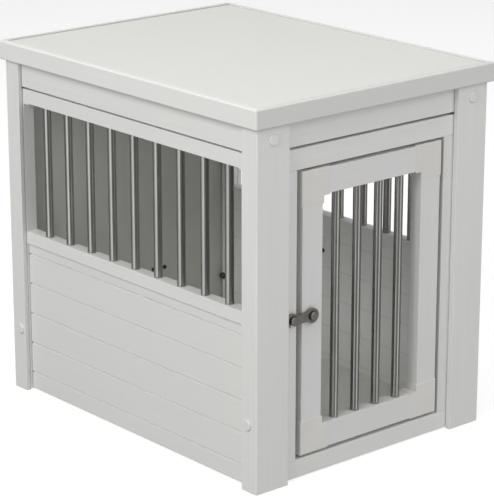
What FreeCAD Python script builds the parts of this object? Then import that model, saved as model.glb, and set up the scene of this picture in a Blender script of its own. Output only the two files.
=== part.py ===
"""Dog crate end table: a small white crate for a dog that doubles as an end table.

Four L-shaped legs stand at the corners of a solid-backed box. The long sides have barred
windows over horizontal siding. The barred front door turns on two upright pivot pins and
is held shut by a drop latch. A board with raised edge mouldings makes the table top.

Millimetres. +X runs to the right as seen from the door, +Y from the door to the back and
+Z up. The origin is on the ground, under the middle of the top.
"""

import FreeCAD
import Part
import math
import os

# ---------------------------------------------------------------- driving dimensions
# whole object
top_width = 462.0              # across the door face, edge to edge of the top
top_depth = 600.0              # door side to back, edge to edge of the top
overall_height = 560.0         # ground to the rim of the top
top_overhang = 7.5             # top past the outer faces of the legs

# top
edge_height = 29.0             # edge mouldings, which show as the thickness of the top
edge_width = 10.0
rim_height = 2.0               # mouldings above the inset board
rim_slot_height = 1.3          # shadow gap under the mouldings' inner lips
rim_slot_depth = 1.6
edge_round = 2.5
top_screw_bite = 12.0          # screws into the underside of the board

# legs, L-shaped in plan
leg_face_width = 60.0          # arm on the front or back face
leg_side_width = 32.0          # arm on the side face
leg_face_wall = 9.0            # thickness of the front or back arm
leg_side_wall = 8.5            # thickness of the side arm
leg_round = 2.0                # outer corner of the legs
leg_arm_round = 1.0            # outer edges at the ends of their arms
side_arm_relief = 3.0          # rounded inner edge at the end of the side arm
face_arm_relief = 2.0          # the same at the end of the front or back arm

# aprons under the top
apron_height = 38.2
apron_thickness = 14.0
side_apron_setback = 6.0       # outer face of the side aprons behind the legs' side faces
apron_gap = 4.0                # dark gap between aprons and the frames below
apron_end_gap = 1.5            # side aprons to the edges of the legs
corner_block_size = 34.0
top_screw_inset = 8.0          # top screws from the inner faces of the corner blocks

# ground clearance under the panels, so that only the legs stand on the floor
panel_clearance = 2.0
fit_gap = 0.2                  # between pieces that slide together
same_place = 0.01              # two places this close count as one
piece_round = 1.0              # eased edges of rails and stiles

# side panels
side_thickness = 20.0
stile_setback = 0.5            # stiles end behind the edges of the legs
side_top_rail_height = 22.0
side_mid_rail_height = 20.0
side_mid_rail_top = 261.8      # above the ground
side_connector_drop = 11.0     # corner connector below the top rail
side_connector_reach = 14.5    # corner connector along the top rail
side_connector_lip = 1.5       # corner connector past the inner edges of rail and stile
siding_setback = 3.5           # siding behind the face of the rails
siding_end_gap = 0.8           # shadow line where the siding meets the stiles
siding_end_depth = 3.0
first_plank_height = 17.0      # plank under the mid rail
plank_pitch = 48.7
plank_chamfer = 1.6            # V groove between planks, on the outer face
plank_notch_width = 3.5        # the grooves' open ends
plank_notch_height = 3.0
plank_notch_depth = 6.0
plank_tongue_height = 5.0
plank_tongue_thickness = 4.0

# bars
bar_diameter = 12.7
bar_wall = 1.2
bar_hole_gap = 0.25            # radial gap of a bar in its hole
side_bar_count = 9
side_bar_margin = 47.4         # window edge to the middle of the first bar
side_bar_depth = 13.0          # bar ends inside the rails
door_bar_count = 4
door_bar_margin = 34.8

# back
back_board_thickness = 4.0
back_rebate = 5.0              # how far the board goes into the back stiles
back_shadow_gap = 3.3          # rebate in front of the board, which shows as a dark line
back_groove_depth = 1.2

# front frame
frame_thickness = 21.6
header_height = 30.4
sill_height = 27.4
latch_stile_show = 22.0        # stile between the leg and the doorway, latch side
hinge_stile_show = 18.0

# door
door_latch_gap = 9.0
door_hinge_gap = 5.5
door_top_gap = 3.8
door_bottom_gap = 4.0
door_rail_width = 38.0
door_rail_thickness = 21.6
door_rail_wall = 3.0
connector_wall = 1.5           # sleeve of the corner connectors over the rails' edges
connector_face_wall = 0.8      # the same over their faces
connector_arm = 11.0           # sleeve past the corner block
connector_round = 2.0

# door pivots
pivot_inset = 11.5             # pivot axis in from the door's hinge edge
pivot_pin_diameter = 6.0
pivot_pin_hold = 16.0          # pin inside the header or sill
pivot_pin_reach = 18.0         # pin inside the door
bush_diameter = 10.0
bush_flange_diameter = 14.0
pivot_running_gap = 0.05       # radial
pivot_end_float = 0.2

# latch
latch_height = 243.5           # middle of the latch above the ground
keeper_inset = 11.0            # keeper stud in from the leg's inner edge
latch_reach = 36.7             # keeper stud to pivot stud
link_thickness = 4.0
link_waist = 13.6
link_pivot_radius = 11.1
link_hook_radius = 10.2
link_neck_round = 6.0
link_recess_diameter = 16.0    # round recesses that the stud heads sit in
link_recess_depth = 1.5
hook_gap = 0.4
stud_neck_diameter = 8.0
stud_head_diameter = 13.4
stud_head_length = 5.9
stud_thread_length = 14.0
stud_thread_diameter = 5.0
stud_round = 1.0
latch_spacer_diameter = 14.0
latch_spacer_thickness = 2.0
link_side_gap = 0.2            # link to the spacers and to the stud heads
link_pivot_gap = 0.05          # radial

# floor
floor_thickness = 10.0
floor_top = 20.0
floor_gap = 0.5
ledge_width = 16.0

# fasteners
bolt_diameter = 6.0
bolt_head_diameter = 12.0
bolt_head_height = 2.5
cap_diameter = 16.5
cap_height = 2.6
cap_round = 1.6
side_bolt_height = 101.0
side_bolt_inset = 19.8         # from the leg's front or back face
front_side_bolt_length = 48.0
apron_bolt_length = 42.0
nut_diameter = 10.5            # across corners
nut_height = 7.0
nut_cap_wall = 2.0             # closed end of the nut
top_screw_diameter = 4.0
top_screw_head_diameter = 9.0
top_screw_head_height = 3.0
wall_screw_diameter = 3.0
wall_screw_head_diameter = 7.0
wall_screw_head_height = 2.0
wall_screw_bite = 2.5
side_wall_screw_height = 203.0
side_wall_screw_offset = 27.0      # behind the middle of the side
back_wall_screw_height = 140.0
back_wall_screw_offset = 60.0      # middle of the pair, to the right of the middle
back_wall_screw_spacing = 23.0

# ---------------------------------------------------------------- derived places
leg_x = top_width / 2 - top_overhang           # outer side face of the legs
leg_y = top_depth / 2 - top_overhang           # outer front and back faces of the legs
leg_top = overall_height - edge_height
board_top = overall_height - rim_height
apron_bottom = leg_top - apron_height
frame_top = apron_bottom - apron_gap

side_outer_x = leg_x - leg_side_wall           # outer face of the side panels
side_inner_x = side_outer_x - side_thickness
front_face_y = -leg_y + leg_face_wall          # outer face of the front frame
front_inner_y = front_face_y + frame_thickness
back_face_y = leg_y - leg_face_wall            # outer face of the back board
back_inner_y = back_face_y - back_board_thickness

side_apron_outer_x = leg_x - side_apron_setback
side_apron_inner_x = side_apron_outer_x - apron_thickness

leg_edge_y = leg_y - leg_side_width            # where the legs' side arms end
window_y = leg_edge_y + stile_setback          # half the length of the side window
side_rail_bottom = frame_top - side_top_rail_height
siding_top = side_mid_rail_top - side_mid_rail_height
siding_outer_x = side_outer_x - siding_setback

leg_edge_x = leg_x - leg_face_width            # where the legs' front arms end
doorway_left = -leg_edge_x + latch_stile_show
doorway_right = leg_edge_x - hinge_stile_show
doorway_bottom = panel_clearance + sill_height
doorway_top = frame_top - header_height

door_left = doorway_left + door_latch_gap
door_right = doorway_right - door_hinge_gap
door_bottom = doorway_bottom + door_bottom_gap
door_top = doorway_top - door_top_gap
door_middle_y = front_face_y + door_rail_thickness / 2
connector_size = door_rail_width + 2 * connector_wall
connector_thickness = door_rail_thickness + 2 * connector_face_wall
pivot_x = door_right - pivot_inset

keeper_x = -leg_edge_x + keeper_inset
latch_pivot_x = keeper_x + latch_reach
link_back_y = front_face_y - latch_spacer_thickness - link_side_gap
link_front_y = link_back_y - link_thickness
recess_floor_y = link_front_y + link_recess_depth


# ---------------------------------------------------------------- plain solids
def vector(x, y, z):
    return FreeCAD.Vector(x, y, z)


def box(x0, x1, y0, y1, z0, z1):
    """Box between two values along each axis."""
    return Part.makeBox(x1 - x0, y1 - y0, z1 - z0, vector(x0, y0, z0))


def rod_x(x0, x1, y, z, diameter):
    return Part.makeCylinder(diameter / 2, x1 - x0, vector(x0, y, z), vector(1, 0, 0))


def rod_y(y0, y1, x, z, diameter):
    return Part.makeCylinder(diameter / 2, y1 - y0, vector(x, y0, z), vector(0, 1, 0))


def rod_z(z0, z1, x, y, diameter):
    return Part.makeCylinder(diameter / 2, z1 - z0, vector(x, y, z0), vector(0, 0, 1))


def prism(points, along):
    """Straight prism on a closed outline of points."""
    outline = Part.makePolygon(points + [points[0]])
    return Part.Face(outline).extrude(along)


def mirror_x(shape):
    return shape.mirror(vector(0, 0, 0), vector(1, 0, 0))


def mirror_y(shape):
    return shape.mirror(vector(0, 0, 0), vector(0, 1, 0))


def group(solids):
    """Separate solids that share one node."""
    return Part.makeCompound(solids)


def edges_along(shape, direction):
    """Straight edges that run along one axis."""
    found = []
    for edge in shape.Edges:
        span = edge.Vertexes[-1].Point - edge.Vertexes[0].Point
        straight = isinstance(edge.Curve, Part.Line)
        if straight and abs(span.dot(direction)) > span.Length - same_place:
            found.append(edge)
    return found


def eased_box(x0, x1, y0, y1, z0, z1, direction, radius=piece_round):
    """Box whose long edges, which run along a direction, are rounded."""
    plain = box(x0, x1, y0, y1, z0, z1)
    return plain.makeFillet(radius, edges_along(plain, direction))


ALONG_X = vector(1, 0, 0)
ALONG_Y = vector(0, 1, 0)
ALONG_Z = vector(0, 0, 1)


# ---------------------------------------------------------------- top
def make_top_board():
    """Board inside the mouldings, a little lower than their rims."""
    half_x = top_width / 2 - edge_width
    half_y = top_depth / 2 - edge_width
    board = box(-half_x, half_x, -half_y, half_y, leg_top, board_top)
    for x, y in top_screw_places():
        board = board.cut(rod_z(leg_top, leg_top + top_screw_bite, x, y, top_screw_diameter))
    return board


def make_top_edges():
    """Four mouldings mitred at the corners, cut from one rounded ring."""
    half_x = top_width / 2
    half_y = top_depth / 2
    slab = box(-half_x, half_x, -half_y, half_y, leg_top, overall_height)
    slab = slab.makeFillet(edge_round, slab.Edges)
    inner_x = half_x - edge_width
    inner_y = half_y - edge_width
    slot_x = inner_x + rim_slot_depth
    slot_y = inner_y + rim_slot_depth
    ring = slab.cut([box(-inner_x, inner_x, -inner_y, inner_y, leg_top, overall_height),
                     box(-slot_x, slot_x, -slot_y, slot_y, board_top, board_top + rim_slot_height)])
    reach = 1.5 * edge_width
    corner_x = half_x - reach
    corner_y = half_y - reach
    up = vector(0, 0, edge_height)
    front_wedge = prism([vector(-half_x, -half_y, leg_top), vector(half_x, -half_y, leg_top),
                         vector(corner_x, -corner_y, leg_top), vector(-corner_x, -corner_y, leg_top)], up)
    left_wedge = prism([vector(-half_x, -half_y, leg_top), vector(-corner_x, -corner_y, leg_top),
                        vector(-corner_x, corner_y, leg_top), vector(-half_x, half_y, leg_top)], up)
    front = ring.common(front_wedge)
    left = ring.common(left_wedge)
    return {"top_edge_front": front, "top_edge_back": mirror_y(front),
            "top_edge_left": left, "top_edge_right": mirror_x(left)}


def top_screw_places():
    """Top screws near the inner corner of each corner block."""
    x = side_apron_inner_x - corner_block_size + top_screw_inset
    y = leg_y - leg_face_wall - apron_thickness - corner_block_size + top_screw_inset
    return [(x, y), (-x, y), (x, -y), (-x, -y)]


def make_corner_block():
    """Front left block behind the aprons."""
    x0 = -side_apron_inner_x
    y0 = front_face_y + apron_thickness
    block = box(x0, x0 + corner_block_size, y0, y0 + corner_block_size, apron_bottom, leg_top)
    bolt_x, bolt_z = apron_bolt_place()
    block = block.cut(rod_y(y0, -leg_y + bolt_head_height + apron_bolt_length, bolt_x, bolt_z, bolt_diameter))
    x, y = top_screw_places()[3]
    block = block.cut(rod_z(apron_bottom, leg_top, x, y, top_screw_diameter))
    head_room = top_screw_head_diameter + 2 * fit_gap
    return block.cut(rod_z(apron_bottom, apron_bottom + top_screw_head_height, x, y, head_room))


def make_top_screw(x, y):
    """Pan-head screw from below, through the corner block into the board."""
    head = rod_z(apron_bottom, apron_bottom + top_screw_head_height, x, y, top_screw_head_diameter)
    shank = rod_z(apron_bottom, leg_top + top_screw_bite, x, y, top_screw_diameter)
    return head.fuse(shank)


def make_front_apron():
    """Front apron, behind the front arms of the legs."""
    reach = side_apron_inner_x
    apron = box(-reach, reach, front_face_y, front_face_y + apron_thickness, apron_bottom, leg_top)
    bolt_x, bolt_z = apron_bolt_place()
    for x in (bolt_x, -bolt_x):
        apron = apron.cut(rod_y(front_face_y, front_face_y + apron_thickness, x, bolt_z, bolt_diameter))
    return apron


def make_left_apron():
    """Left apron: it stands proud between the legs and has tongues behind them."""
    main_reach = leg_edge_y - apron_end_gap
    main = box(-side_apron_outer_x, -side_apron_inner_x, -main_reach, main_reach, apron_bottom, leg_top)
    tongue_reach = leg_y - leg_face_wall
    tongue_x = -leg_x + max(leg_side_wall, side_apron_setback)
    tongue = box(tongue_x, -side_apron_inner_x, -tongue_reach, tongue_reach, apron_bottom, leg_top)
    return main.fuse(tongue).removeSplitter()


# ---------------------------------------------------------------- legs and their bolts
def apron_bolt_place():
    """X and Z of the bolt in the front face of the left leg."""
    return -leg_x + leg_face_width / 2, (apron_bottom + leg_top) / 2


def round_upright(leg, x, y, radius):
    """Leg with its upright edge at one place in plan rounded."""
    here = [edge for edge in edges_along(leg, ALONG_Z)
            if abs(edge.Vertexes[0].Point.x - x) < same_place
            and abs(edge.Vertexes[0].Point.y - y) < same_place]
    return leg.makeFillet(radius, here)


def make_leg():
    """Front left leg, with counterbored holes for its two bolts."""
    face_arm = box(-leg_x, -leg_edge_x, -leg_y, front_face_y, 0, leg_top)
    side_arm = box(-leg_x, -side_outer_x, -leg_y, -leg_edge_y, 0, leg_top)
    leg = face_arm.fuse(side_arm).removeSplitter()
    leg = round_upright(leg, -leg_x, -leg_y, leg_round)
    leg = round_upright(leg, -leg_x, -leg_edge_y, leg_arm_round)
    leg = round_upright(leg, -side_outer_x, -leg_edge_y, side_arm_relief)
    leg = round_upright(leg, -leg_edge_x, -leg_y, leg_arm_round)
    leg = round_upright(leg, -leg_edge_x, front_face_y, face_arm_relief)
    bolt_x, bolt_z = apron_bolt_place()
    leg = leg.cut(rod_y(-leg_y, front_face_y, bolt_x, bolt_z, bolt_diameter))
    leg = leg.cut(rod_y(-leg_y, -leg_y + bolt_head_height, bolt_x, bolt_z, bolt_head_diameter))
    bolt_y = -leg_y + side_bolt_inset
    leg = leg.cut(rod_x(-leg_x, -side_outer_x, bolt_y, side_bolt_height, bolt_diameter))
    return leg.cut(rod_x(-leg_x, -leg_x + bolt_head_height, bolt_y, side_bolt_height, bolt_head_diameter))


def make_apron_bolt():
    """Front left bolt, through leg and apron into the corner block."""
    x, z = apron_bolt_place()
    head = rod_y(-leg_y, -leg_y + bolt_head_height, x, z, bolt_head_diameter)
    end = -leg_y + bolt_head_height + apron_bolt_length
    return head.fuse(rod_y(-leg_y, end, x, z, bolt_diameter))


def make_side_bolt(length):
    """Front left bolt through the leg's side arm and the side panel."""
    y = -leg_y + side_bolt_inset
    head = rod_x(-leg_x, -leg_x + bolt_head_height, y, side_bolt_height, bolt_head_diameter)
    end = -leg_x + bolt_head_height + length
    return head.fuse(rod_x(-leg_x, end, y, side_bolt_height, bolt_diameter))


def make_cap(face, outward):
    """Round cap over a bolt head: flat back on the leg, front edge well rounded."""
    cap = Part.makeCylinder(cap_diameter / 2, cap_height, face, outward)
    front = face + outward * cap_height
    rim = [edge for edge in cap.Edges if abs((edge.Vertexes[0].Point - front).dot(outward)) < same_place
           and edge.Closed]
    return cap.makeFillet(cap_round, rim)


def make_bolt_caps():
    """Caps on both bolts of every leg."""
    bolt_x, bolt_z = apron_bolt_place()
    front_cap = make_cap(vector(bolt_x, -leg_y, bolt_z), vector(0, -1, 0))
    side_place = vector(-leg_x, -leg_y + side_bolt_inset, side_bolt_height)
    side_cap = make_cap(side_place, vector(-1, 0, 0))
    left_pair = [front_cap, side_cap]
    front_four = left_pair + [mirror_x(cap) for cap in left_pair]
    return group(front_four + [mirror_y(cap) for cap in front_four])


def make_back_side_bolt_nut():
    """Domed hexagon nut inside the crate on the back left side bolt, one flat to the back board."""
    y = leg_y - side_bolt_inset
    corners = []
    for index in range(6):
        angle = math.radians(60 * index + 30)
        across = nut_diameter / 2
        corners.append(vector(-side_inner_x, y + across * math.cos(angle),
                              side_bolt_height + across * math.sin(angle)))
    nut = prism(corners, vector(nut_height, 0, 0))
    ball = Part.makeSphere(nut_height, vector(-side_inner_x, y, side_bolt_height))
    nut = nut.common(ball)
    return nut.cut(rod_x(-side_inner_x, back_bolt_end_x(), y, side_bolt_height, bolt_diameter))


def back_bolt_end_x():
    """Where the left back side bolt ends, inside its nut."""
    return -side_inner_x + nut_height - nut_cap_wall


def make_side_bolts():
    """Long bolts at the front go into the door frame, short ones at the back into nuts."""
    front = make_side_bolt(front_side_bolt_length)
    back_length = back_bolt_end_x() + leg_x - bolt_head_height
    back = mirror_y(make_side_bolt(back_length))
    return group([front, mirror_x(front), back, mirror_x(back)])


# ---------------------------------------------------------------- side panels (left, mirrored)
def side_bar_places():
    """Y of each bar, evenly spread between the two end margins."""
    first = -window_y + side_bar_margin
    pitch = -2 * first / (side_bar_count - 1)
    return [first + index * pitch for index in range(side_bar_count)]


def side_bar_x():
    return -(side_outer_x + side_inner_x) / 2


def bar_holes(places, x, z0, z1):
    """Upright holes for the side bars."""
    return [rod_z(z0, z1, x, y, bar_diameter + 2 * bar_hole_gap) for y in places]


def make_side_bars():
    """Tubes that stand in blind holes in the mid rail and reach into the top rail."""
    low = side_mid_rail_top - side_bar_depth
    high = side_rail_bottom + side_bar_depth - fit_gap
    x = side_bar_x()
    bars = []
    for y in side_bar_places():
        outer = rod_z(low, high, x, y, bar_diameter)
        bars.append(outer.cut(rod_z(low, high, x, y, bar_diameter - 2 * bar_wall)))
    return group(bars)


def make_side_top_rail():
    reach = window_y - side_connector_reach
    rail = eased_box(-side_outer_x, -side_inner_x, -reach, reach, side_rail_bottom, frame_top, ALONG_Y)
    holes = bar_holes(side_bar_places(), side_bar_x(), side_rail_bottom, side_rail_bottom + side_bar_depth)
    return rail.cut(holes)


def make_side_mid_rail():
    rail = eased_box(-side_outer_x, -side_inner_x, -window_y, window_y, siding_top, side_mid_rail_top,
                     ALONG_Y)
    holes = bar_holes(side_bar_places(), side_bar_x(), side_mid_rail_top - side_bar_depth, side_mid_rail_top)
    return rail.cut(holes).cut(plank_tongue_groove(siding_top))


def side_connector_bottom():
    return side_rail_bottom - side_connector_drop


def make_side_connector():
    """Front left corner connector of the window frame, an L along the rail and down the stile."""
    outer, inner = -side_outer_x, -side_inner_x
    lip = side_connector_lip
    upright = box(outer, inner, front_face_y, -window_y + lip, side_connector_bottom(), frame_top)
    along = box(outer, inner, front_face_y, -window_y + side_connector_reach,
                side_rail_bottom - lip, frame_top)
    return upright.fuse(along).removeSplitter()


def make_side_stile():
    """Front left stile, almost wholly behind the leg."""
    stile = eased_box(-side_outer_x, -side_inner_x, front_face_y, -window_y,
                      panel_clearance, side_connector_bottom(), ALONG_Z)
    y = -leg_y + side_bolt_inset
    return stile.cut(rod_x(-side_outer_x, -side_inner_x, y, side_bolt_height, bolt_diameter))


def cut_back_rebate(shape, top):
    """Rebate in a back left piece, for the edge of the back board and the dark gap before it."""
    x0 = -side_inner_x - back_rebate - fit_gap
    y0 = back_inner_y - back_shadow_gap
    return shape.cut(box(x0, -side_inner_x, y0, back_face_y, panel_clearance, top))


def plank_tongue_x():
    """Middle of the tongue and groove in the siding's thickness, left side."""
    return -(siding_outer_x + side_inner_x) / 2


def plank_tongue_groove(level):
    """Groove above a level, that takes the tongue of the plank below."""
    half = plank_tongue_thickness / 2 + fit_gap
    x = plank_tongue_x()
    return box(x - half, x + half, -window_y, window_y, level, level + plank_tongue_height + fit_gap)


def plank_levels():
    """Heights of the plank edges, from the mid rail down to the bottom edge."""
    levels = [siding_top]
    level = siding_top - first_plank_height
    while level > panel_clearance + 2 * plank_tongue_height:
        levels.append(level)
        level -= plank_pitch
    levels.append(panel_clearance)
    return levels


def make_plank(top, bottom, is_last):
    """Plank with a tongue on its upper edge and, but for the last, a groove in its lower one."""
    outer = -siding_outer_x
    inner = -side_inner_x
    cut = plank_chamfer
    outline = [vector(outer, -window_y, bottom + cut), vector(outer, -window_y, top - cut),
               vector(outer + cut, -window_y, top), vector(inner, -window_y, top),
               vector(inner, -window_y, bottom), vector(outer + cut, -window_y, bottom)]
    plank = prism(outline, vector(0, 2 * window_y, 0))
    half = plank_tongue_thickness / 2
    x = plank_tongue_x()
    plank = plank.fuse(box(x - half, x + half, -window_y, window_y, top, top + plank_tongue_height))
    if not is_last:
        plank = plank.cut(plank_tongue_groove(bottom))
    return plank.removeSplitter()


def make_siding():
    """Planks, with a narrow rebate and a notch for each groove at both ends of their outer face."""
    levels = plank_levels()
    planks = []
    for index in range(len(levels) - 1):
        is_last = index == len(levels) - 2
        planks.append(make_plank(levels[index], levels[index + 1], is_last))
    hole = rod_x(-side_inner_x - wall_screw_bite, -side_inner_x, side_wall_screw_offset,
                 side_wall_screw_height, wall_screw_diameter)
    end_cuts = [box(-siding_outer_x, -siding_outer_x + siding_end_depth, window_y - siding_end_gap,
                    window_y, panel_clearance, siding_top)]
    for level in levels[1:-1]:
        end_cuts.append(box(-siding_outer_x, -siding_outer_x + plank_notch_depth,
                            window_y - plank_notch_width, window_y,
                            level - plank_notch_height / 2, level + plank_notch_height / 2))
    cuts = [hole] + end_cuts + [mirror_y(cut) for cut in end_cuts]
    return group([plank.cut(cuts) for plank in planks])


def make_side_panel(side, flip):
    """All the pieces of one side panel, by node name."""
    connector = make_side_connector()
    stile = make_side_stile()
    back_connector = cut_back_rebate(mirror_y(connector), frame_top)
    back_stile = cut_back_rebate(mirror_y(stile), side_connector_bottom())
    connectors = group([connector, back_connector])
    pieces = {"top_rail": make_side_top_rail(), "mid_rail": make_side_mid_rail(),
              "front_stile": stile, "back_stile": back_stile,
              "siding": make_siding(), "bars": make_side_bars(), "corner_connectors": connectors}
    return {side + "_" + name: flip(shape) for name, shape in pieces.items()}


# ---------------------------------------------------------------- back and floor
def back_board_bottom():
    return panel_clearance + fit_gap


def back_wall_screw_places():
    half = back_wall_screw_spacing / 2
    return [back_wall_screw_offset - half, back_wall_screw_offset + half]


def make_back_board():
    """Board in the rebates of the back stiles, grooved outside in line with the siding."""
    reach = side_inner_x + back_rebate
    board = box(-reach, reach, back_inner_y, back_face_y, back_board_bottom(), frame_top)
    for level in plank_levels()[1:-1]:
        depth = back_groove_depth
        outline = [vector(-reach, back_face_y, level - depth), vector(-reach, back_face_y, level + depth),
                   vector(-reach, back_face_y - depth, level)]
        board = board.cut(prism(outline, vector(2 * reach, 0, 0)))
    for x in back_wall_screw_places():
        board = board.cut(rod_y(back_inner_y, back_inner_y + wall_screw_bite, x, back_wall_screw_height,
                                wall_screw_diameter))
    return board


def make_wall_screws():
    """Small dark screws on the inner walls."""
    x = side_inner_x
    head = rod_x(x - wall_screw_head_height, x, side_wall_screw_offset, side_wall_screw_height,
                 wall_screw_head_diameter)
    shank = rod_x(x, x + wall_screw_bite, side_wall_screw_offset, side_wall_screw_height,
                  wall_screw_diameter)
    right = head.fuse(shank)
    screws = [right, mirror_x(right)]
    for place in back_wall_screw_places():
        head = rod_y(back_inner_y - wall_screw_head_height, back_inner_y, place, back_wall_screw_height,
                     wall_screw_head_diameter)
        shank = rod_y(back_inner_y, back_inner_y + wall_screw_bite, place, back_wall_screw_height,
                      wall_screw_diameter)
        screws.append(head.fuse(shank))
    return group(screws)


def make_floor():
    reach = side_inner_x - floor_gap
    return box(-reach, reach, front_inner_y + floor_gap, back_inner_y - floor_gap,
               floor_top - floor_thickness, floor_top)


def make_floor_ledges():
    """Strips along the side walls that the floor rests on."""
    left = box(-side_inner_x, -side_inner_x + ledge_width, front_inner_y + floor_gap,
               back_inner_y - floor_gap, panel_clearance, floor_top - floor_thickness)
    return group([left, mirror_x(left)])


# ---------------------------------------------------------------- front frame
def frame_bolt_holes(shape):
    """Holes for the ends of the front side bolts."""
    y = -leg_y + side_bolt_inset
    end = -leg_x + bolt_head_height + front_side_bolt_length
    hole = rod_x(-side_inner_x, end, y, side_bolt_height, bolt_diameter)
    return shape.cut(hole).cut(mirror_x(hole))


def make_header():
    reach = side_inner_x
    header = eased_box(-reach, reach, front_face_y, front_inner_y, doorway_top, frame_top, ALONG_X)
    return header.cut(rod_z(doorway_top, doorway_top + pivot_pin_hold, pivot_x, door_middle_y,
                            pivot_pin_diameter))


def make_sill():
    reach = side_inner_x
    sill = eased_box(-reach, reach, front_face_y, front_inner_y, panel_clearance, doorway_bottom, ALONG_X)
    return sill.cut(rod_z(doorway_bottom - pivot_pin_hold, doorway_bottom, pivot_x, door_middle_y,
                          pivot_pin_diameter))


def make_front_latch_stile():
    stile = eased_box(-side_inner_x, doorway_left, front_face_y, front_inner_y,
                      doorway_bottom, doorway_top, ALONG_Z)
    stile = frame_bolt_holes(stile)
    return stile.cut(rod_y(front_face_y, front_face_y + stud_thread_length, keeper_x, latch_height,
                           stud_thread_diameter))


def make_front_hinge_stile():
    stile = eased_box(doorway_right, side_inner_x, front_face_y, front_inner_y,
                      doorway_bottom, doorway_top, ALONG_Z)
    return frame_bolt_holes(stile)


# ---------------------------------------------------------------- door
def door_rail_y():
    return door_middle_y - door_rail_thickness / 2, door_middle_y + door_rail_thickness / 2


def rail_end(edge, towards):
    """Where a rail or stile butts against the solid block of a corner connector."""
    return edge + towards * connector_size


def make_door_stile(outer_x, towards):
    """Hollow upright of the door. towards is +1 if the door lies to its right."""
    y0, y1 = door_rail_y()
    near = outer_x + towards * connector_wall
    far = near + towards * door_rail_width
    x0, x1 = min(near, far), max(near, far)
    z0 = rail_end(door_bottom, 1)
    z1 = rail_end(door_top, -1)
    stile = eased_box(x0, x1, y0, y1, z0, z1, ALONG_Z)
    wall = door_rail_wall
    return stile.cut(box(x0 + wall, x1 - wall, y0 + wall, y1 - wall, z0, z1))


def make_door_latch_stile():
    """Upright that carries the latch's pivot stud."""
    stile = make_door_stile(door_left, 1)
    return stile.cut(rod_y(front_face_y, front_face_y + stud_thread_length, latch_pivot_x,
                           latch_height, stud_thread_diameter))


def door_bar_places():
    """X of each door bar, evenly spread between the two end margins."""
    clear_left = door_left + connector_wall + door_rail_width
    clear_right = door_right - connector_wall - door_rail_width
    first = clear_left + door_bar_margin
    pitch = (clear_right - door_bar_margin - first) / (door_bar_count - 1)
    return [first + index * pitch for index in range(door_bar_count)]


def make_door_rail(outer_z, towards):
    """Hollow cross rail of the door. towards is +1 if the door lies above it."""
    y0, y1 = door_rail_y()
    near = outer_z + towards * connector_wall
    far = near + towards * door_rail_width
    z0, z1 = min(near, far), max(near, far)
    x0 = rail_end(door_left, 1)
    x1 = rail_end(door_right, -1)
    rail = eased_box(x0, x1, y0, y1, z0, z1, ALONG_X)
    wall = door_rail_wall
    rail = rail.cut(box(x0, x1, y0 + wall, y1 - wall, z0 + wall, z1 - wall))
    inner = far - towards * wall
    hole_low, hole_high = min(far, inner), max(far, inner)
    holes = [rod_z(hole_low, hole_high, x, door_middle_y, bar_diameter + 2 * bar_hole_gap)
             for x in door_bar_places()]
    return rail.cut(holes)


def make_door_bars():
    """Tubes that stand on the lower rail's outer wall and reach through into the upper rail."""
    low = door_bottom + connector_wall + door_rail_wall
    high = door_top - connector_wall - door_rail_wall - fit_gap
    bars = []
    for x in door_bar_places():
        outer = rod_z(low, high, x, door_middle_y, bar_diameter)
        bars.append(outer.cut(rod_z(low, high, x, door_middle_y, bar_diameter - 2 * bar_wall)))
    return group(bars)


def make_door_connector():
    """Lower left corner connector: a solid corner block with two thin sleeves."""
    size = connector_size
    arm = size + connector_arm
    y0 = door_middle_y - connector_thickness / 2
    y1 = door_middle_y + connector_thickness / 2
    upright = box(door_left, door_left + size, y0, y1, door_bottom, door_bottom + arm)
    across = box(door_left, door_left + arm, y0, y1, door_bottom, door_bottom + size)
    body = upright.fuse(across).removeSplitter()
    corner = vector(door_left + size, 0, door_bottom + size)
    rounded = []
    for edge in body.Edges:
        middle = (edge.Vertexes[0].Point + edge.Vertexes[-1].Point) * 0.5
        on_face = abs(middle.y - y0) < same_place or abs(middle.y - y1) < same_place
        beyond_arm = middle.x > door_left + arm - same_place or middle.z > door_bottom + arm - same_place
        on_outside = middle.x < door_left + same_place or middle.z < door_bottom + same_place
        if on_face and on_outside and not beyond_arm:
            rounded.append(edge)
    body = body.makeFillet(connector_round, rounded)
    rail_y0, rail_y1 = door_rail_y()
    wall = connector_wall
    for_stile = box(door_left + wall, door_left + size - wall, rail_y0, rail_y1,
                    corner.z, door_bottom + arm)
    for_rail = box(corner.x, door_left + arm, rail_y0, rail_y1,
                   door_bottom + wall, door_bottom + size - wall)
    return body.cut(for_stile).cut(for_rail)


def make_door_connectors():
    """Four alike connectors. Those on the hinge side are bored for the pivot bushes."""
    middle_x = (door_left + door_right) / 2
    middle_z = (door_bottom + door_top) / 2
    low_latch = make_door_connector()
    high_latch = low_latch.mirror(vector(0, 0, middle_z), ALONG_Z)
    low_hinge = low_latch.mirror(vector(middle_x, 0, 0), ALONG_X)
    high_hinge = high_latch.mirror(vector(middle_x, 0, 0), ALONG_X)
    low_hinge = low_hinge.cut(rod_z(door_bottom, door_bottom + bush_length(), pivot_x, door_middle_y,
                                    bush_diameter))
    high_hinge = high_hinge.cut(rod_z(door_top - bush_length(), door_top, pivot_x, door_middle_y,
                                      bush_diameter))
    return {"door_corner_bottom_latch": low_latch, "door_corner_top_latch": high_latch,
            "door_corner_bottom_hinge": low_hinge, "door_corner_top_hinge": high_hinge}


# ---------------------------------------------------------------- door pivots
def bush_length():
    """Depth of the bush in its connector: the pin's reach and a little room past its end."""
    return pivot_pin_reach + 1.0


def make_bottom_pin():
    low = doorway_bottom - pivot_pin_hold
    return rod_z(low, door_bottom + pivot_pin_reach, pivot_x, door_middle_y, pivot_pin_diameter)


def make_top_pin():
    low = door_top - pivot_pin_reach
    return rod_z(low, doorway_top + pivot_pin_hold, pivot_x, door_middle_y, pivot_pin_diameter)


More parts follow.
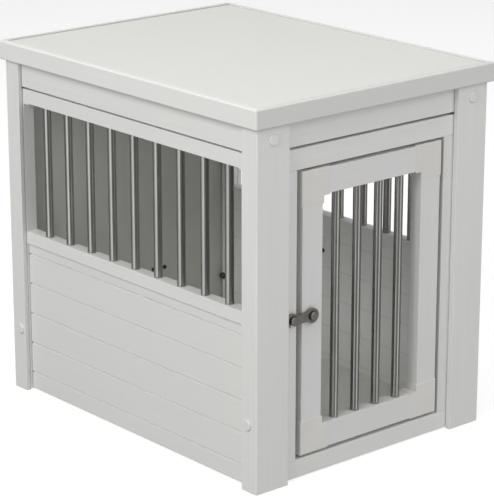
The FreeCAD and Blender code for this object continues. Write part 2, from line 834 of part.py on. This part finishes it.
def make_bush(flange_low, flange_high, body_low, body_high):
    """Flanged bush in the door, bored to run on the pin."""
    flange = rod_z(flange_low, flange_high, pivot_x, door_middle_y, bush_flange_diameter)
    body = rod_z(body_low, body_high, pivot_x, door_middle_y, bush_diameter)
    bore_low = min(flange_low, body_low)
    bore_high = max(flange_high, body_high)
    bore = rod_z(bore_low, bore_high, pivot_x, door_middle_y, pivot_pin_diameter + 2 * pivot_running_gap)
    return flange.fuse(body).removeSplitter().cut(bore)


def make_bottom_bush():
    return make_bush(doorway_bottom + pivot_end_float, door_bottom, door_bottom, door_bottom + bush_length())


def make_top_bush():
    return make_bush(door_top, doorway_top - pivot_end_float, door_top - bush_length(), door_top)


# ---------------------------------------------------------------- latch
def make_link():
    """Dog-bone link: a bored boss on the pivot stud and a hook that drops over the keeper."""
    z = latch_height
    boss = rod_y(link_front_y, link_back_y, latch_pivot_x, z, 2 * link_pivot_radius)
    hook = rod_y(link_front_y, link_back_y, keeper_x, z, 2 * link_hook_radius)
    half = link_waist / 2
    waist = box(keeper_x, latch_pivot_x, link_front_y, link_back_y, z - half, z + half)
    link = boss.fuse([hook, waist]).removeSplitter()
    hollows = []
    for edge in edges_along(link, ALONG_Y):
        place = edge.Vertexes[0].Point
        if keeper_x < place.x < latch_pivot_x and abs(abs(place.z - z) - half) < same_place:
            hollows.append(edge)
    link = link.makeFillet(link_neck_round, hollows)
    bore = rod_y(link_front_y, link_back_y, latch_pivot_x, z, stud_neck_diameter + 2 * link_pivot_gap)
    recess = rod_y(link_front_y, recess_floor_y, latch_pivot_x, z, link_recess_diameter)
    hook_slot = hook_mouth(stud_neck_diameter + 2 * hook_gap, link_back_y)
    hook_recess = hook_mouth(link_recess_diameter, recess_floor_y)
    return link.cut([bore, recess, hook_slot, hook_recess])


def hook_mouth(width, back_y):
    """Round-ended slot that opens downwards along an arc about the pivot stud."""
    x, z = latch_pivot_x, latch_height
    start = rod_y(link_front_y, back_y, keeper_x, z, width)
    outer = rod_y(link_front_y, back_y, x, z, 2 * latch_reach + width)
    inner = rod_y(link_front_y, back_y, x, z, 2 * latch_reach - width)
    far = 1.5 * latch_reach
    below = prism([vector(x, link_front_y, z), vector(x - far, link_front_y, z),
                   vector(x - far, link_front_y, z - far / 2)], vector(0, back_y - link_front_y, 0))
    return start.fuse(outer.cut(inner).common(below))


def make_stud(x):
    """Headed stud: a threaded end in the frame or door, a neck for the link and a round head."""
    head_back = recess_floor_y - link_side_gap
    head = rod_y(head_back - stud_head_length, head_back, x, latch_height, stud_head_diameter)
    front_edges = [edge for edge in head.Edges if edge.BoundBox.YMax < head_back - same_place]
    head = head.makeFillet(stud_round, front_edges)
    spacer_front = link_back_y + link_side_gap
    neck = rod_y(head_back, spacer_front, x, latch_height, stud_neck_diameter)
    thread = rod_y(head_back, front_face_y + stud_thread_length, x, latch_height, stud_thread_diameter)
    return head.fuse([neck, thread]).removeSplitter()


def make_latch_spacer(x):
    """Washer under a stud, which holds the link off the frame and the door."""
    y0 = link_back_y + link_side_gap
    washer = rod_y(y0, front_face_y, x, latch_height, latch_spacer_diameter)
    return washer.cut(rod_y(y0, front_face_y, x, latch_height, stud_thread_diameter))


# ---------------------------------------------------------------- assembly
def build():
    """Every node by name."""
    parts = {"top_board": make_top_board()}
    parts.update(make_top_edges())

    leg = make_leg()
    parts["leg_front_left"] = leg
    parts["leg_front_right"] = mirror_x(leg)
    parts["leg_back_left"] = mirror_y(leg)
    parts["leg_back_right"] = mirror_y(mirror_x(leg))

    front_apron = make_front_apron()
    left_apron = make_left_apron()
    parts["apron_front"] = front_apron
    parts["apron_back"] = mirror_y(front_apron)
    parts["apron_left"] = left_apron
    parts["apron_right"] = mirror_x(left_apron)

    block = make_corner_block()
    front_blocks = [block, mirror_x(block)]
    parts["corner_blocks"] = group(front_blocks + [mirror_y(one) for one in front_blocks])
    parts["top_screws"] = group([make_top_screw(x, y) for x, y in top_screw_places()])

    bolt = make_apron_bolt()
    front_bolts = [bolt, mirror_x(bolt)]
    parts["apron_bolts"] = group(front_bolts + [mirror_y(one) for one in front_bolts])
    parts["side_bolts"] = make_side_bolts()
    nut = make_back_side_bolt_nut()
    parts["side_bolt_nuts"] = group([nut, mirror_x(nut)])
    parts["bolt_caps"] = make_bolt_caps()

    parts.update(make_side_panel("left", lambda shape: shape))
    parts.update(make_side_panel("right", mirror_x))

    parts["back_board"] = make_back_board()
    parts["wall_screws"] = make_wall_screws()
    parts["floor_panel"] = make_floor()
    parts["floor_ledges"] = make_floor_ledges()

    parts["front_header"] = make_header()
    parts["front_sill"] = make_sill()
    parts["front_latch_stile"] = make_front_latch_stile()
    parts["front_hinge_stile"] = make_front_hinge_stile()

    parts["door_latch_stile"] = make_door_latch_stile()
    parts["door_hinge_stile"] = make_door_stile(door_right, -1)
    parts["door_top_rail"] = make_door_rail(door_top, -1)
    parts["door_bottom_rail"] = make_door_rail(door_bottom, 1)
    parts["door_bars"] = make_door_bars()
    parts.update(make_door_connectors())

    parts["pivot_pin_top"] = make_top_pin()
    parts["pivot_pin_bottom"] = make_bottom_pin()
    parts["pivot_bush_top"] = make_top_bush()
    parts["pivot_bush_bottom"] = make_bottom_bush()

    parts["latch_link"] = make_link()
    parts["latch_pivot_stud"] = make_stud(latch_pivot_x)
    parts["latch_spacer"] = make_latch_spacer(latch_pivot_x)
    parts["keeper_stud"] = make_stud(keeper_x)
    parts["keeper_spacer"] = make_latch_spacer(keeper_x)
    return parts


os.makedirs("parts", exist_ok=True)
for node, shape in sorted(build().items()):
    shape.exportStep("parts/" + node + ".step")
    print("%-26s %2d solids  %9.0f mm3  valid %s" % (node, len(shape.Solids), shape.Volume, shape.isValid()))
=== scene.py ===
"""Looks for the crate end table: finishes, floor, light and camera.

Every length is in metres, in the row frame: +X along the door face, +Y to the back, +Z up.
"""
import math

import bpy
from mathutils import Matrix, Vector

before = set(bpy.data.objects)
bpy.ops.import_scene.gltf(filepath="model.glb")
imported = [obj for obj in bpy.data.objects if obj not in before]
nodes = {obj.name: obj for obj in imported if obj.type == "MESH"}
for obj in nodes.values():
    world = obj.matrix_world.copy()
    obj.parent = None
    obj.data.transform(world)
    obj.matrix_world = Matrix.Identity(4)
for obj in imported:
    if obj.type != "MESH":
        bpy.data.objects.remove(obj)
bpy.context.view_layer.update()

# Camera, worked out from the photograph's own edges.
CAMERA_PLACE = (-2.1653, -2.5252, 1.2781)
CAMERA_HEADING = 40.69          # degrees from +Y towards +X
CAMERA_DIP = 16.97              # degrees below the horizon
CAMERA_LENS = 163.85            # mm on a 36 mm sensor
CAMERA_SHIFT = (0.0053, -0.0176)

AXES = {"x": 0, "y": 1, "z": 2}

# The siding's level grooves: height of the lowest, pitch, half width, and the colour multiplied in
# there as painted shade.
LOWEST_GROOVE = 0.0300
GROOVE_PITCH = 0.0487
GROOVE_HALF = 0.0016
GROOVE_PAINTED_SHADE = (0.91, 0.91, 0.90, 1.0)

# Paint over grain: cycles per metre, along the grain and across it where there are two.
CLOUD_CYCLES = 7.0
STREAK_CYCLES = (5.0, 170.0)
FIBRE_CYCLES = (26.0, 1150.0)
ROLLER_CYCLES = 900.0
PAINT_ROUGHNESS = (0.42, 0.56)
PAINT_GLOSS = 0.32
WARM_SHARE = (0.985, 0.98, 0.955)

# Light: azimuth from +X, half width and soft edge in degrees, and radiance of each bright band.
AIR_RADIANCE = 0.30
BRIGHT_BANDS = ((205.0, 14.0, 12.0, 0.45), (286.0, 9.0, 12.0, 1.25))
# Name, place, side and radiance of each square soft box.
SOFT_BOXES = (
    ("overhead_box", (0.3, 0.2, 3.4), 2.6, 1.60),
    ("left_box", (-3.0, -0.5, 2.4), 2.0, 5.8),
    ("front_box", (0.4, -3.0, 2.4), 2.0, 2.35),
)
BOX_AIM = (0.0, 0.0, 0.3)
# Near panel for the side bars' reflections.
PANEL_PLACE = (-0.9, -0.1, 0.2)
PANEL_AIM = (0.0, -0.1, 0.2)
PANEL_WIDTH = 0.9
PANEL_HEIGHT = 1.0
PANEL_RADIANCE = 0.85

# Studio floor: half its width, the two greys of its mottle and its own glow.
FLOOR_HALF = 30.0
FLOOR_GREYS = (0.60, 0.62)
FLOOR_GLOW = 0.60


# Shader building

class Shader:
    """A node material under construction, with short ways to add its nodes."""

    def __init__(self, name):
        self.material = bpy.data.materials.new(name)
        self.material.use_nodes = True
        self.tree = self.material.node_tree
        self.surface = self.tree.nodes["Principled BSDF"]
        self.place = self.add("ShaderNodeTexCoord").outputs["Object"]

    def add(self, kind, **settings):
        node = self.tree.nodes.new(kind)
        for key, value in settings.items():
            setattr(node, key, value)
        return node

    def join(self, source, target):
        self.tree.links.new(source, target)

    def stretched(self, scale):
        """The surface's place, scaled along each axis."""
        mapping = self.add("ShaderNodeMapping")
        self.join(self.place, mapping.inputs["Vector"])
        mapping.inputs["Scale"].default_value = scale
        return mapping.outputs["Vector"]

    def noise(self, scale, detail=3.0, roughness=0.55, distortion=0.0):
        """Noise with a scale along each axis, in cycles per metre."""
        node = self.add("ShaderNodeTexNoise")
        self.join(self.stretched(scale), node.inputs["Vector"])
        node.inputs["Scale"].default_value = 1.0
        node.inputs["Detail"].default_value = detail
        node.inputs["Roughness"].default_value = roughness
        node.inputs["Distortion"].default_value = distortion
        return node.outputs["Fac"]

    def spread(self, value, low, high, new_low, new_high):
        """The value mapped from one range onto another."""
        node = self.add("ShaderNodeMapRange")
        self.join(value, node.inputs["Value"])
        node.inputs["From Min"].default_value = low
        node.inputs["From Max"].default_value = high
        node.inputs["To Min"].default_value = new_low
        node.inputs["To Max"].default_value = new_high
        return node.outputs["Result"]

    def maths(self, operation, first, second):
        node = self.add("ShaderNodeMath", operation=operation)
        for socket, value in zip(node.inputs, (first, second)):
            if isinstance(value, (int, float)):
                socket.default_value = value
            else:
                self.join(value, socket)
        return node.outputs["Value"]

    def blend(self, share, first, second):
        """Two colours mixed by a share that varies over the surface."""
        node = self.add("ShaderNodeMix", data_type="RGBA")
        self.join(share, node.inputs["Factor"])
        for socket, value in ((node.inputs[6], first), (node.inputs[7], second)):
            if isinstance(value, tuple):
                socket.default_value = (*value, 1.0)
            else:
                self.join(value, socket)
        return node.outputs[2]

    def bump(self, height, strength, distance, below=None):
        node = self.add("ShaderNodeBump")
        node.inputs["Strength"].default_value = strength
        node.inputs["Distance"].default_value = distance
        self.join(height, node.inputs["Height"])
        if below is not None:
            self.join(below, node.inputs["Normal"])
        return node.outputs["Normal"]

    def finish(self, colour, roughness, normal=None, **numbers):
        """Links what varies and sets what is the same all over."""
        self.join(colour, self.surface.inputs["Base Color"])
        self.join(roughness, self.surface.inputs["Roughness"])
        if normal is not None:
            self.join(normal, self.surface.inputs["Normal"])
        for key, value in numbers.items():
            self.surface.inputs[key.replace("_", " ")].default_value = value
        return self.material


def along(axis, lengthwise, crosswise):
    """A scale for the three axes: one along the grain, the other across it."""
    scale = [crosswise] * 3
    scale[AXES[axis]] = lengthwise
    return scale


def paint_groove_shade(shader, colour):
    """Paints shade into the siding's level grooves: the paint a little darker there."""
    height = shader.add("ShaderNodeSeparateXYZ")
    shader.join(shader.place, height.inputs["Vector"])
    rise = shader.maths("SUBTRACT", height.outputs["Z"], LOWEST_GROOVE)
    away = shader.maths("PINGPONG", rise, GROOVE_PITCH / 2)
    share = shader.spread(away, GROOVE_HALF * 0.4, GROOVE_HALF * 1.2, 1.0, 0.0)
    shaded = shader.add("ShaderNodeMix", data_type="RGBA", blend_type="MULTIPLY")
    shader.join(share, shaded.inputs["Factor"])
    shader.join(colour, shaded.inputs[6])
    shaded.inputs[7].default_value = GROOVE_PAINTED_SHADE
    return shaded.outputs[2]


def painted_wood(name, axis, tone, streak=0.025, grain=0.2, dullness=0.0, shade_painted_in_grooves=False):
    """White paint over close-grained wood: faint lengthwise streaks, soft grain, roller texture and,
    where asked, painted shade in the siding's grooves.
    """
    shader = Shader(name)
    clouds = shader.noise((CLOUD_CYCLES,) * 3, 4.0)
    streaks = shader.noise(along(axis, *STREAK_CYCLES), 4.0, 0.6, 0.4)
    fibres = shader.noise(along(axis, *FIBRE_CYCLES), 3.0, 0.6)
    roller = shader.noise((ROLLER_CYCLES,) * 3, 2.0, 0.5)
    dull = tuple(part * (1.0 - streak) for part in tone)
    bright = tuple(min(1.0, part * (1.0 + streak * 0.5)) for part in tone)
    warm = tuple(part * share for part, share in zip(tone, WARM_SHARE))
    base = shader.blend(shader.spread(streaks, 0.32, 0.68, 0.0, 1.0), dull, bright)
    colour = shader.blend(shader.spread(clouds, 0.45, 0.8, 0.0, 0.55), base, warm)
    # Painted shade in the grooves, where less light reaches.
    if shade_painted_in_grooves:
        colour = paint_groove_shade(shader, colour)
    smooth, rough = (limit + dullness for limit in PAINT_ROUGHNESS)
    roughness = shader.spread(shader.maths("ADD", clouds, streaks), 0.7, 1.3, smooth, rough)
    low = shader.bump(fibres, grain, 0.0004)
    middle = shader.bump(streaks, grain * 0.7, 0.0006, low)
    normal = shader.bump(roller, 0.10, 0.0003, middle)
    return shader.finish(colour, roughness, normal, Specular_IOR_Level=PAINT_GLOSS)


def moulded_plastic(name, tone, roughness=0.42, speckle=0.02):
    """Moulded plastic: even colour, fine spark texture and slight flow marks."""
    shader = Shader(name)
    clouds = shader.noise((16.0, 16.0, 9.0), 3.0)
    spark = shader.noise((1500.0, 1500.0, 1500.0), 2.0, 0.6)
    other = tuple(part * (1.0 - 3 * speckle) for part in tone)
    colour = shader.blend(shader.spread(clouds, 0.35, 0.7, 0.0, 1.0), tone, other)
    gloss = shader.spread(clouds, 0.3, 0.7, roughness - 0.04, roughness + 0.06)
    normal = shader.bump(spark, 0.12, 0.0002)
    return shader.finish(colour, gloss, normal, Specular_IOR_Level=0.5)


def drawn_metal(name, axis, bright, dark, roughness, lines=0.25, fine=1900.0):
    """Metal tube with draw lines along it, an uneven tarnish and a finish brushed round it."""
    shader = Shader(name)
    tarnish = shader.noise((30.0, 30.0, 14.0), 4.0)
    scores = shader.noise(along(axis, 12.0, fine), 3.0, 0.65)
    share = shader.maths("MULTIPLY", tarnish, scores)
    colour = shader.blend(shader.spread(share, 0.12, 0.42, 0.0, 1.0), dark, bright)
    gloss = shader.spread(scores, 0.3, 0.7, roughness - 0.05, roughness + 0.08)
    normal = shader.bump(scores, lines, 0.0002)
    grain = shader.add("ShaderNodeCombineXYZ")
    grain.inputs["XYZ".index(axis.upper())].default_value = 1.0
    shader.join(grain.outputs["Vector"], shader.surface.inputs["Tangent"])
    return shader.finish(colour, gloss, normal, Metallic=1.0, Anisotropic=0.85)


def turned_metal(name, bright, dark, roughness):
    """Plated turned metal: fine speckle, faint haze and small marks."""
    shader = Shader(name)
    haze = shader.noise((70.0, 70.0, 70.0), 4.0)
    speck = shader.noise((2400.0, 2400.0, 2400.0), 2.0)
    colour = shader.blend(shader.spread(haze, 0.35, 0.7, 0.0, 1.0), bright, dark)
    gloss = shader.spread(haze, 0.3, 0.7, roughness - 0.05, roughness + 0.10)
    normal = shader.bump(speck, 0.15, 0.0001)
    return shader.finish(colour, gloss, normal, Metallic=1.0)


WHITE = (0.800, 0.801, 0.785)
SIDING = (0.785, 0.786, 0.768)
TOP = (0.780, 0.784, 0.750)
# Lit and shaded copies of the rim paint: painted light on the side rims, painted shade on the end rims.
SIDE_RIM_PAINTED_LIGHT = (0.820, 0.823, 0.803)
END_RIM_PAINTED_SHADE = (0.715, 0.718, 0.698)
DOOR = (0.768, 0.770, 0.763)
# Interior boards: the frame's white painted darker, as painted shade inside the crate.
INSIDE_PAINTED_SHADE = (0.700, 0.705, 0.668)
SHADED = (0.750, 0.751, 0.738)
CREAM = (0.790, 0.778, 0.742)
PALE = (0.795, 0.792, 0.778)


def fit_out(names, material):
    """Gives the named nodes this material."""
    for name in names:
        for slot in nodes[name].material_slots:
            slot.material = material


def dress_nodes():
    """A finish for each CAD node, with the grain along the piece's length."""
    top_y = painted_wood("top_white_y", "y", TOP, 0.012, 0.12)
    # The rims: a lit copy of the paint along the sides, a shaded copy at the ends.
    rim_y = painted_wood("rim_painted_light_y", "y", SIDE_RIM_PAINTED_LIGHT, 0.015, 0.12, 0.10)
    rim_x = painted_wood("rim_painted_shade_x", "x", END_RIM_PAINTED_SHADE, 0.015, 0.12, 0.10)
    frame_x = painted_wood("frame_white_x", "x", WHITE)
    frame_y = painted_wood("frame_white_y", "y", WHITE)
    frame_z = painted_wood("frame_white_z", "z", WHITE)
    shaded_z = painted_wood("frame_shaded_z", "z", SHADED)
    # Its grooves carry painted shade.
    siding_y = painted_wood("siding_white_y", "y", SIDING, 0.02, 0.25, shade_painted_in_grooves=True)
    door_x = painted_wood("door_white_x", "x", DOOR, 0.02, 0.22)
    door_z = painted_wood("door_white_z", "z", DOOR, 0.02, 0.22)
    # The floor and back board carry painted shade for the crate's inside.
    floor_y = painted_wood("floor_white_y", "y", INSIDE_PAINTED_SHADE, 0.02, 0.25)
    back_z = painted_wood("back_white_z", "z", INSIDE_PAINTED_SHADE, 0.02, 0.2)
    cream = moulded_plastic("connector_cream_moulded", CREAM)
    pale = moulded_plastic("connector_pale_moulded", PALE)
    cap = moulded_plastic("cap_white_moulded", (0.82, 0.82, 0.81), 0.30)
    bush = moulded_plastic("bush_grey_moulded", (0.32, 0.32, 0.31), 0.45)
    bar = drawn_metal("bar_steel_drawn", "z", (0.37, 0.365, 0.35), (0.30, 0.295, 0.285), 0.27)
    nickel = turned_metal("latch_nickel_plated", (0.30, 0.285, 0.27), (0.22, 0.205, 0.19), 0.33)
    pivot = drawn_metal("pivot_steel_drawn", "z", (0.52, 0.51, 0.50), (0.40, 0.39, 0.38), 0.3)
    screw = turned_metal("fastener_steel_black", (0.12, 0.12, 0.12), (0.07, 0.07, 0.07), 0.42)

    fit_out(("top_board",), top_y)
    # Painted light on the side rims, painted shade on the end rims.
    fit_out(("top_edge_left", "top_edge_right"), rim_y)
    fit_out(("top_edge_front", "top_edge_back"), rim_x)
    fit_out(("apron_front", "apron_back", "front_header", "front_sill"), frame_x)
    fit_out(("apron_left", "apron_right", "left_top_rail", "left_mid_rail",
             "right_top_rail", "right_mid_rail"), frame_y)
    fit_out(("leg_front_left", "leg_front_right", "leg_back_left", "leg_back_right",
             "left_front_stile", "left_back_stile", "right_front_stile", "right_back_stile",
             "front_latch_stile", "corner_blocks"), frame_z)
    fit_out(("front_hinge_stile",), shaded_z)
    fit_out(("left_siding", "right_siding"), siding_y)
    fit_out(("door_latch_stile", "door_hinge_stile"), door_z)
    fit_out(("door_top_rail", "door_bottom_rail"), door_x)
    fit_out(("floor_panel", "floor_ledges"), floor_y)
    fit_out(("back_board",), back_z)
    fit_out(("left_corner_connectors", "right_corner_connectors"), pale)
    fit_out(("door_corner_bottom_latch", "door_corner_bottom_hinge",
             "door_corner_top_latch", "door_corner_top_hinge"), cream)
    fit_out(("bolt_caps",), cap)
    fit_out(("pivot_bush_bottom", "pivot_bush_top"), bush)
    fit_out(("left_bars", "right_bars", "door_bars"), bar)
    fit_out(("latch_link", "latch_pivot_stud", "latch_spacer",
             "keeper_stud", "keeper_spacer"), nickel)
    fit_out(("pivot_pin_bottom", "pivot_pin_top"), pivot)
    fit_out(("top_screws", "apron_bolts", "side_bolts", "side_bolt_nuts", "wall_screws"), screw)


# Room, light and camera

def pale_floor():
    """A wide white studio floor that carries only the faintest shadow."""
    half = FLOOR_HALF
    mesh = bpy.data.meshes.new("studio_floor")
    corners = [(-half, -half, 0.0), (half, -half, 0.0), (half, half, 0.0), (-half, half, 0.0)]
    mesh.from_pydata(corners, [], [(0, 1, 2, 3)])
    floor = bpy.data.objects.new("studio_floor", mesh)
    bpy.context.scene.collection.objects.link(floor)
    shader = Shader("studio_floor_paint")
    mottle = shader.noise((2.0, 2.0, 2.0), 3.0)
    dark, pale = ((grey,) * 3 for grey in FLOOR_GREYS)
    colour = shader.blend(mottle, dark, pale)
    shader.finish(colour, shader.spread(mottle, 0.0, 1.0, 0.85, 0.9))
    shader.surface.inputs["Emission Color"].default_value = (1.0, 1.0, 1.0, 1.0)
    shader.surface.inputs["Emission Strength"].default_value = FLOOR_GLOW
    mesh.materials.append(shader.material)
    # Its bounce is left to the room's even air, so that overhangs and gaps keep their shade.
    floor.visible_diffuse = False
    floor.visible_glossy = False


def soft_light(name, place, aim, width, height, radiance):
    """A rectangular soft box that looks at a point and stays out of the picture itself."""
    data = bpy.data.lights.new(name, "AREA")
    data.shape = "RECTANGLE"
    data.size = width
    data.size_y = height
    data.energy = radiance * math.pi * width * height
    lamp = bpy.data.objects.new(name, data)
    lamp.location = place
    lamp.rotation_euler = (Vector(aim) - Vector(place)).to_track_quat("-Z", "Y").to_euler()
    lamp.visible_camera = False
    bpy.context.scene.collection.objects.link(lamp)
    return lamp


class Air:
    """The even light of the room, with upright bright bands in it."""

    def __init__(self, radiance):
        self.world = bpy.data.worlds.new("studio_air")
        self.world.use_nodes = True
        self.tree = self.world.node_tree
        self.sky = self.tree.nodes["Background"]
        direction = self.add("ShaderNodeSeparateXYZ")
        self.tree.links.new(self.add("ShaderNodeTexCoord").outputs["Generated"], direction.inputs[0])
        self.x, self.y, self.z = direction.outputs
        self.radiance = radiance
        bpy.context.scene.world = self.world

    def add(self, kind, **settings):
        node = self.tree.nodes.new(kind)
        for key, value in settings.items():
            setattr(node, key, value)
        return node

    def maths(self, operation, *values):
        node = self.add("ShaderNodeMath", operation=operation)
        for socket, value in zip(node.inputs, values):
            if isinstance(value, (int, float)):
                socket.default_value = value
            else:
                self.tree.links.new(value, socket)
        return node.outputs["Value"]

    def ramp(self, value, start, end):
        """From 0 to 1 as the value goes from start to end."""
        node = self.add("ShaderNodeMapRange", interpolation_type="SMOOTHSTEP")
        self.tree.links.new(value, node.inputs["Value"])
        node.inputs["From Min"].default_value = min(start, end)
        node.inputs["From Max"].default_value = max(start, end)
        node.inputs["To Min"].default_value = float(start > end)
        node.inputs["To Max"].default_value = float(start < end)
        return node.outputs["Result"]

    def band(self, azimuth, half_width, soft, radiance):
        """An upright band seen towards an azimuth from +X, in degrees, on both sides of the horizon."""
        turn = math.radians(azimuth)
        ahead = self.maths("ADD", self.maths("MULTIPLY", self.x, math.cos(turn)),
                           self.maths("MULTIPLY", self.y, math.sin(turn)))
        aside = self.maths("SUBTRACT", self.maths("MULTIPLY", self.y, math.cos(turn)),
                           self.maths("MULTIPLY", self.x, math.sin(turn)))
        angle = self.maths("ABSOLUTE", self.maths("ARCTAN2", aside, ahead))
        width = self.ramp(angle, math.radians(half_width + soft), math.radians(half_width))
        height = self.maths("MULTIPLY", self.ramp(self.z, -0.75, -0.55), self.ramp(self.z, 0.25, 0.05))
        share = self.maths("MULTIPLY", width, height)
        self.radiance = self.maths("MULTIPLY_ADD", share, radiance, self.radiance)

    def finish(self):
        self.sky.inputs["Color"].default_value = (1.0, 1.0, 1.0, 1.0)
        self.tree.links.new(self.radiance, self.sky.inputs["Strength"])


def light_the_room():
    """Even air with bright bands, soft boxes overhead, to the left and in front, and a near panel."""
    air = Air(AIR_RADIANCE)
    for band in BRIGHT_BANDS:
        air.band(*band)
    air.finish()
    for name, place, side, radiance in SOFT_BOXES:
        soft_light(name, place, BOX_AIM, side, side, radiance)
    panel = soft_light("left_panel", PANEL_PLACE, PANEL_AIM, PANEL_WIDTH, PANEL_HEIGHT, PANEL_RADIANCE)
    # It only shows in reflections, and adds nothing to the paint's own light.
    panel.visible_diffuse = False


def aim_camera():
    data = bpy.data.cameras.new("photo_camera")
    data.lens = CAMERA_LENS
    data.sensor_width = 36.0
    data.shift_x, data.shift_y = CAMERA_SHIFT
    data.clip_end = 100.0
    camera = bpy.data.objects.new("photo_camera", data)
    camera.location = CAMERA_PLACE
    camera.rotation_euler = (math.radians(90.0 - CAMERA_DIP), 0.0, math.radians(-CAMERA_HEADING))
    bpy.context.scene.collection.objects.link(camera)
    bpy.context.scene.camera = camera
    bpy.context.scene.view_settings.view_transform = "Standard"


dress_nodes()
pale_floor()
light_the_room()
aim_camera()
